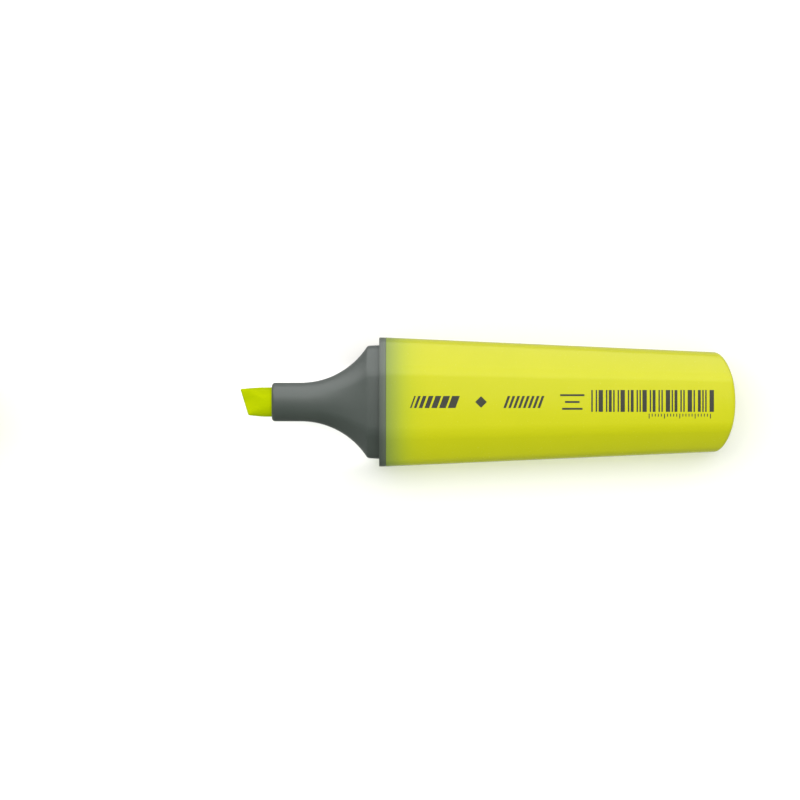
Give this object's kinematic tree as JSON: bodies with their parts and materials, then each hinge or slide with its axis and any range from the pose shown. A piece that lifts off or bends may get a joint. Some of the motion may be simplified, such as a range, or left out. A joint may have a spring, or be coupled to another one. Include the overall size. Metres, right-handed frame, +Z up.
{
  "type": "highlighter",
  "caption": "Flat tapered highlighter pen with a flared grey nose, chisel felt nib, fibre ink reservoir and a push-on clip cap lying beside it.",
  "frame": {"origin": "on the flat underside of the barrel, below the middle of its length", "axes": "+X along the pen from the nib towards the rear end, +Y across its width, +Z up through its wide faces"},
  "size_m": [0.2089, 0.0266, 0.0189],
  "materials": {
    "yellow_plastic": "satin",
    "grey_plastic": "satin",
    "nib_felt": "matte",
    "ink_fibre": "matte",
    "clear_film": "gloss",
    "natural_plastic": "satin"
  },
  "bodies": {
    "pen": {"barrel": "yellow_plastic", "nose_section": "grey_plastic", "nib": "nib_felt", "ink_reservoir": "ink_fibre", "reservoir_film": "clear_film"},
    "cap": {"cap": "yellow_plastic", "inner_cap": "natural_plastic"}
  },
  "joints": [
    {"name": "cap_slide", "type": "slide", "parent": "pen", "child": "cap", "axis": [1, 0, 0], "range_m": [0, 0.1013]}
  ]
}
